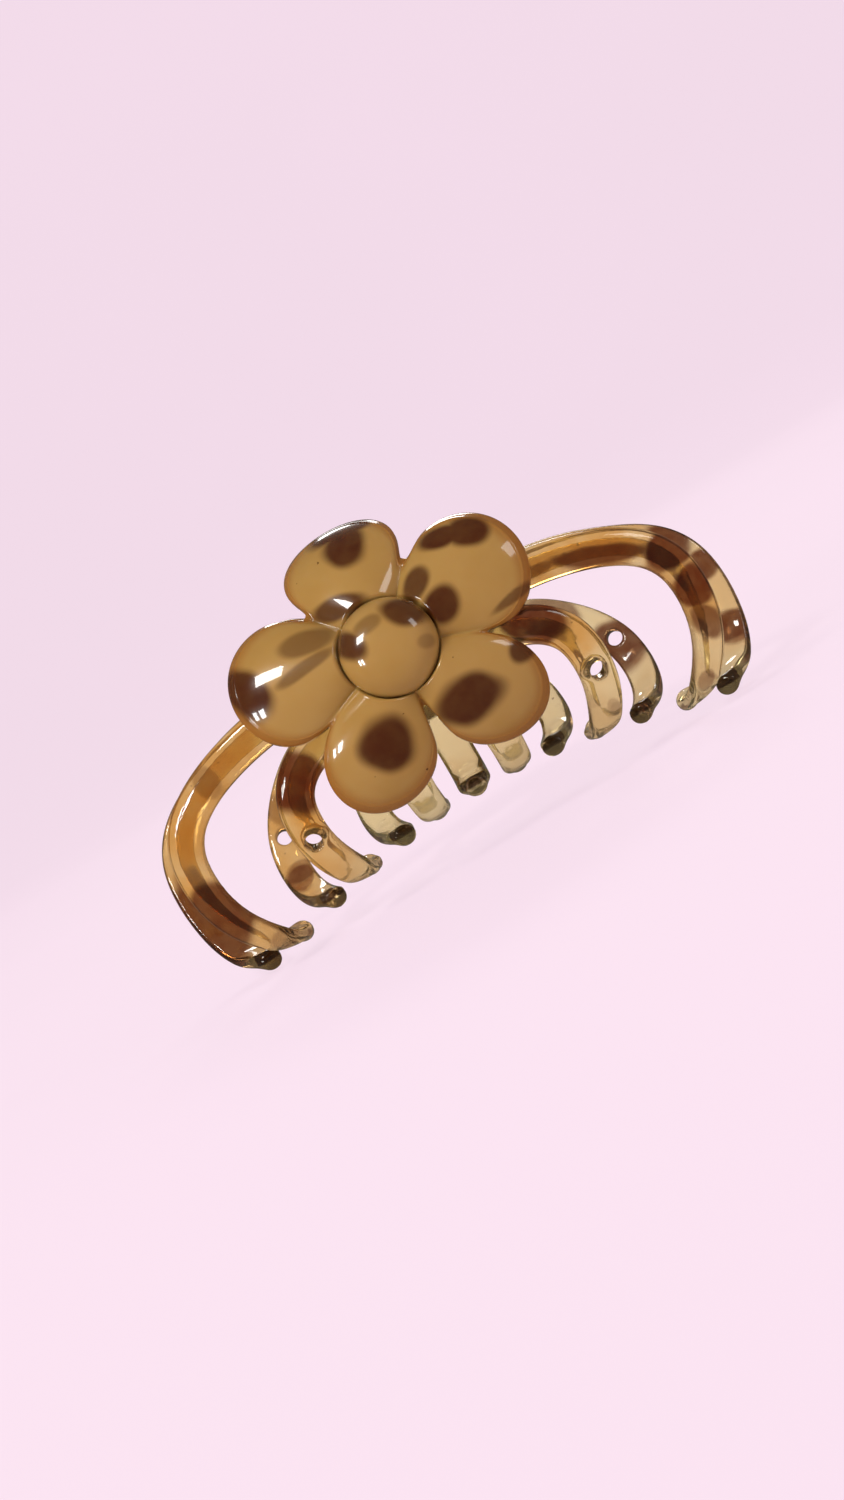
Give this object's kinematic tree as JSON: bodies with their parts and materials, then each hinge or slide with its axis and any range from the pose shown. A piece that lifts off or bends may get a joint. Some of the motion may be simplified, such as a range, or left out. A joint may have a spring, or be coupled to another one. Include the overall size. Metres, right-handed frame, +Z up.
{
  "type": "claw clip",
  "caption": "Spring-hinged hair claw clip: two arched jaws with curved interlocking tines, each carrying a puffed five-petal flower with a round dome button.",
  "frame": {"origin": "middle of the clip's bounding box, at the level of the lowest tine tips", "axes": "+X along the clip and parallel to the hinge, +Y from the front flower towards the back flower, +Z up from the tine tips towards the top petals"},
  "size_m": [0.1136, 0.061, 0.0592],
  "materials": {
    "amber_plastic": "clear glossy amber with brown patches",
    "caramel_plastic": "milky glossy caramel with brown blotches",
    "steel_wire": "plain bright"
  },
  "bodies": {
    "front_half": {"front_jaw": "amber_plastic", "front_flower": "caramel_plastic", "front_flower_button": "caramel_plastic", "hinge_pin": "steel_wire", "torsion_spring": "steel_wire"},
    "back_half": {"back_jaw": "amber_plastic", "back_flower": "caramel_plastic", "back_flower_button": "caramel_plastic"}
  },
  "joints": [
    {"name": "jaw_hinge", "type": "hinge", "parent": "front_half", "child": "back_half", "pos_m": [0, 0, 0.042], "axis": [1, 0, 0], "range_deg": [0, 42], "stiffness_Nm_per_rad": 0.15, "springref_deg": -51.57, "deforming": ["torsion_spring"]}
  ]
}
